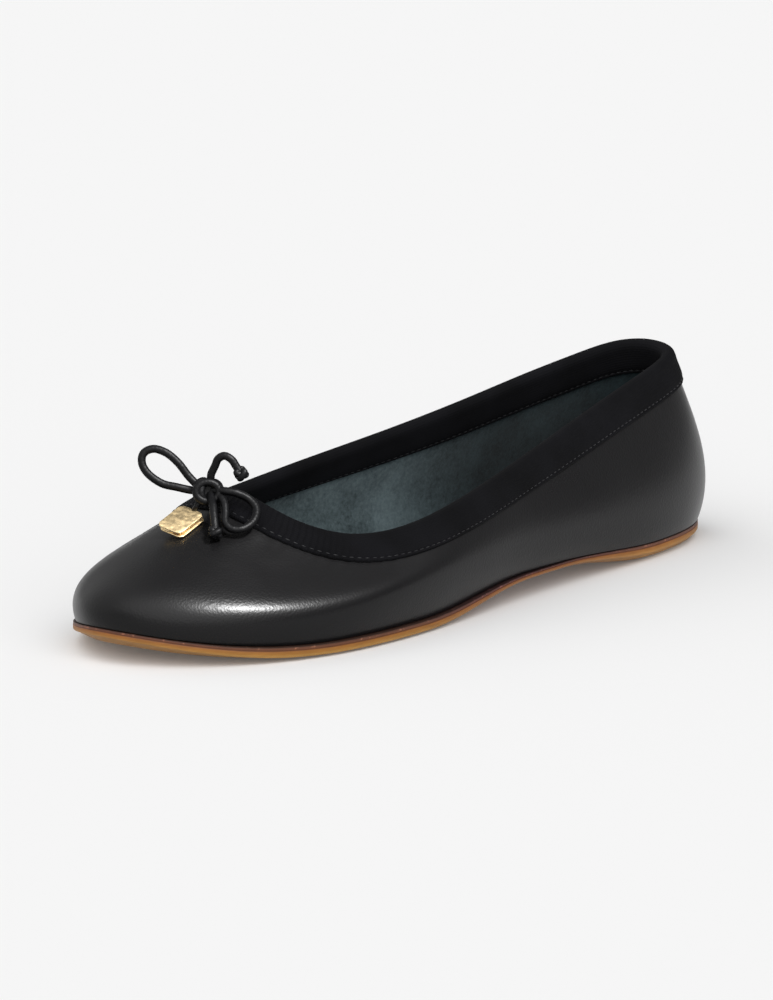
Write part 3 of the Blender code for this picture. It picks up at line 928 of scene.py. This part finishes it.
def teal_suede(name, painted_shade_factor):
    """Suede with a mottled nap, and painted light and shade along the shoe: a painted pool of light
    in the middle, painted shade at the heel and under the vamp.
    """
    sheen = {"Sheen_Weight": 0.2, "Sheen_Roughness": 0.5}
    look = Look(name, (0.03, 0.05, 0.055), 0.95, Specular_IOR_Level=0.15, **sheen)
    patches = look.speckle(55, 6, 0.66)
    nap = look.speckle(900, 4, 0.7)
    both = look.math("ADD", look.math("MULTIPLY", patches, 0.62), look.math("MULTIPLY", nap, 0.38))
    # Both tones are scaled by a factor that paints the lining darker than the sock: painted shade
    # inside the walls.
    dark = tuple(c * painted_shade_factor for c in (0.026, 0.040, 0.044))
    bright = tuple(c * painted_shade_factor for c in (0.150, 0.200, 0.212))
    # Painted light and shade along the shoe: painted shade at the heel and under the vamp, a
    # painted pool of light in the middle.
    painted_light_and_shade = look.ramp(
        look.lengthwise(*SHOE_SPAN),
        (
            (0.0, (0.22, 0.29, 0.31)), (0.26, (0.24, 0.31, 0.33)), (0.42, (1.15, 1.15, 1.16)),
            (0.54, (1.20, 1.19, 1.19)), (0.66, (0.78, 0.79, 0.80)), (0.84, (0.42, 0.44, 0.46)),
        ),
    )
    nappy = look.ramp(both, ((0.36, dark), (0.64, bright)))
    look.feed("Base Color", look.times(nappy, painted_light_and_shade))
    look.feed("Normal", look.bump(nap, 0.0002, 0.6))
    return look.material


def black_faille():
    """Matte band with fine ribs across it, gathered on either side of the knot."""
    look = Look("black faille", (0.004, 0.004, 0.005), 0.92, Specular_IOR_Level=0.12)
    ribs = look.wave("Y", Scale=380, Distortion=0.6, Detail=2, Detail_Scale=3)
    gathers = look.wave("X", Scale=165, Distortion=1.6, Detail=1, Detail_Scale=1)
    shades = ((0.3, (0.0028, 0.0028, 0.0034)), (0.7, (0.0062, 0.0062, 0.0078)))
    look.feed("Base Color", look.ramp(look.speckle(60, 4), shades))
    folded = look.bump(look.math("MULTIPLY", gathers, look.lengthwise(0.058, 0.073)), 0.0005, 0.7)
    ribbed = look.bump(ribs, 0.00008, 0.5, folded)
    look.feed("Normal", look.bump(look.speckle(2600, 2), 0.00008, 0.5, ribbed))
    return look.material


def black_thread():
    """Sewing thread, a little lighter than the band."""
    look = Look("black thread", (0.009, 0.009, 0.011), 0.5, Sheen_Weight=0.1)
    look.feed("Normal", look.bump(look.speckle(5000, 2), 0.00005, 0.6))
    return look.material


def black_cord():
    """Round waxed cord with fine fibres along it."""
    look = Look("black cord", (0.0014, 0.0014, 0.0017), 0.45, Specular_IOR_Level=0.13)
    clumps = look.bump(look.cells(1500), 0.00012, 0.6)
    look.feed("Normal", look.bump(look.speckle(3400, 3), 0.00008, 0.5, clumps))
    return look.material


def sole_leather():
    """Tan leather, paler toward the floor, with a brown seam line and a dark top edge with painted
    glints.
    """
    look = Look("natural sole leather", (0.40, 0.24, 0.084), 0.55, Specular_IOR_Level=0.35)
    up = look.make("ShaderNodeSeparateXYZ", Vector=look.place.outputs["UV"]).outputs["Y"]
    bands = look.ramp(
        up,
        (
            (0.00, (0.46, 0.25, 0.07)), (0.16, (0.53, 0.28, 0.07)), (0.36, (0.43, 0.19, 0.032)),
            (0.57, (0.39, 0.16, 0.03)), (0.65, (0.16, 0.050, 0.018)), (0.72, (0.16, 0.050, 0.018)),
            (0.78, (0.19, 0.070, 0.034)), (0.89, (0.15, 0.054, 0.028)),
            (0.97, (0.05, 0.022, 0.014)),
        ),
    )
    places = look.ramp(
        look.lengthwise(*SHOE_SPAN),
        (
            (0.0, (0.68, 0.66, 0.66)), (0.18, (0.84, 0.80, 0.80)), (0.36, (0.56, 0.48, 0.64)),
            (0.54, (0.62, 0.54, 0.80)), (0.68, (0.76, 0.76, 0.74)), (0.90, (0.70, 0.70, 0.66)),
            (1.0, (0.58, 0.52, 0.48)),
        ),
    )
    stretch = look.make("ShaderNodeMapping", Vector=look.place.outputs["Object"], Scale=(1, 1, 6))
    streaks = look.speckle(190, 4, 0.6, stretch.outputs["Vector"])
    shade = look.ramp(streaks, ((0.25, (0.80, 0.78, 0.74)), (0.75, (1.10, 1.08, 1.05))))
    # Painted glints: specks of painted highlight, as where light catches the stitches, on the strip
    # above the seam line.
    rim = look.span(up, 0.0, 1.0, 0.74, 0.80)
    painted_glint_specks = look.math("MULTIPLY", look.span(look.speckle(700, 2), 0.0, 1.0, 0.60, 0.70), rim)
    glints = look.ramp(painted_glint_specks, ((0.0, (1, 1, 1)), (1.0, (2.6, 3.0, 3.4))))
    shaded = look.times(look.times(bands, places), shade)
    look.feed("Base Color", look.times(shaded, glints))
    look.feed("Normal", look.bump(look.speckle(1400, 3), 0.0001, 0.4))
    return look.material


def hammered_gold():
    """Pale gold, its face beaten with a small round hammer."""
    look = Look("pale gold", (0.78, 0.61, 0.35), 0.4, Metallic=1.0)
    look.feed("Normal", look.bump(look.cells(620), 0.0003, 0.7))
    look.feed("Roughness", look.span(look.speckle(900, 3), 0.38, 0.52, 0.3, 0.7))
    return look.material


# The studio: how bright the dome is all over, and the two ways toward which it is brighter, each
# with the cosines between which it brightens and how much brighter it gets. The lamp is placed from
# the toe, with its size in metres and its power in watts, and lights the leather, the bow and the
# plate alone, so that the floor stays even.
AMBIENT = 0.24
Glow = namedtuple("Glow", "toward starts full more")
DOME = (
    Glow((0.451, -0.752, 0.481), 0.50, 0.85, 0.75),
    Glow((0.549, 0.549, 0.629), 0.60, 0.90, 2.18),
)
FLOOR_SIZE = 12
FLOOR_GAP = 0.00005
FLOOR_SHADE = (0.83, 0.83, 0.83)
FLOOR_GLOW = 0.06
LAMP_AIM = (0.1, 0.02, 0.02)
LAMP_PLACE = (-0.04, 0.75, 1.00)
LAMP_SIZE = (0.25, 0.27)
LAMP_POWER = 48.0
LIT = ("upper_leather", "gold", "cord", "plate")


def aimed(name, data, place, target):
    """A lamp or a camera at one place that looks at another."""
    holder = bpy.data.objects.new(name, data)
    holder.location = place
    holder.rotation_euler = (target - holder.location).to_track_quat("-Z", "Y").to_euler()
    bpy.context.scene.collection.objects.link(holder)
    return holder


def studio():
    """A white floor in a soft dome, and a small box that lights the side of the toe."""
    scene = bpy.context.scene
    scene.view_settings.view_transform = "Standard"
    world = bpy.data.worlds.new("studio")
    scene.world = world
    world.use_nodes = True
    nodes, links = world.node_tree.nodes, world.node_tree.links
    direction = nodes.new("ShaderNodeTexCoord").outputs["Generated"]
    strength = None
    for glow in DOME:
        dot = nodes.new("ShaderNodeVectorMath")
        dot.operation = "DOT_PRODUCT"
        dot.inputs[1].default_value = glow.toward
        links.new(direction, dot.inputs[0])
        change = nodes.new("ShaderNodeMapRange")
        links.new(dot.outputs["Value"], change.inputs["Value"])
        change.inputs["From Min"].default_value = glow.starts
        change.inputs["From Max"].default_value = glow.full
        change.inputs["To Max"].default_value = glow.more
        total = nodes.new("ShaderNodeMath")
        links.new(change.outputs["Result"], total.inputs[0])
        total.inputs[1].default_value = AMBIENT
        if strength is not None:
            links.new(strength, total.inputs[1])
        strength = total.outputs["Value"]
    links.new(strength, nodes["Background"].inputs["Strength"])
    nodes["Background"].inputs["Color"].default_value = (1, 1, 1, 1)

    shape = bmesh.new()
    bmesh.ops.create_grid(shape, x_segments=2, y_segments=2, size=FLOOR_SIZE)
    mesh = bpy.data.meshes.new("floor")
    shape.to_mesh(mesh)
    shape.free()
    floor = bpy.data.objects.new("floor", mesh)
    floor.location.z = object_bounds()[0][2] - FLOOR_GAP
    scene.collection.objects.link(floor)
    look = Look("pale floor", FLOOR_SHADE, 0.9, Specular_IOR_Level=0.0)
    look.feed("Emission Strength", FLOOR_GLOW)
    look.feed("Emission Color", (1, 1, 1, 1))
    mesh.materials.append(look.material)
    floor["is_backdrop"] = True

    lit = bpy.data.collections.new("lit by the lamp")
    for piece in scene.objects:
        if piece.name.startswith(LIT):
            lit.objects.link(piece)
    lamp = bpy.data.lights.new("toe side box", "AREA")
    lamp.shape = "RECTANGLE"
    lamp.size, lamp.size_y = LAMP_SIZE
    lamp.energy = LAMP_POWER
    target = Vector(LAMP_AIM)
    box = aimed("toe side box", lamp, target + Vector(LAMP_PLACE), target)
    box.light_linking.receiver_collection = lit


# The photograph's view: how far round from the outer side towards the toe, how far up, and from how
# far. The lens is the photograph's own, in its pixels, drawn closer to the one shoe.
CAMERA_TURN = math.radians(50.3)
CAMERA_RISE = math.radians(12.0)
CAMERA_DISTANCE = 1.457
LOOK_AT = (0.012, 0, 0.028)
SENSOR = 36
LENS_PIXELS = 2841
CLOSER = 1.81
PICTURE_PIXELS = 773


def set_camera():
    turn, rise = CAMERA_TURN, CAMERA_RISE
    level = math.cos(rise)
    back = Vector((math.sin(turn) * level, math.cos(turn) * level, math.sin(rise)))
    stand = Vector((SOLE_LENGTH / 2, 0, 0)) + Vector(SHOE)
    camera = bpy.data.cameras.new("camera")
    camera.sensor_fit = "HORIZONTAL"
    camera.sensor_width = SENSOR
    camera.lens = SENSOR * LENS_PIXELS * CLOSER / PICTURE_PIXELS
    camera.clip_start, camera.clip_end = 0.05, 50
    place = stand + back * CAMERA_DISTANCE
    bpy.context.scene.camera = aimed("camera", camera, place, stand + Vector(LOOK_AT))


set_camera()
make_bow()
make_sole()
make_sock()
make_upper()
make_lining()
make_binding()
make_stitches()
make_plate()
studio()
for old in ("Cube", "Light", "Camera"):
    if old in bpy.data.objects:
        bpy.data.objects.remove(bpy.data.objects[old])
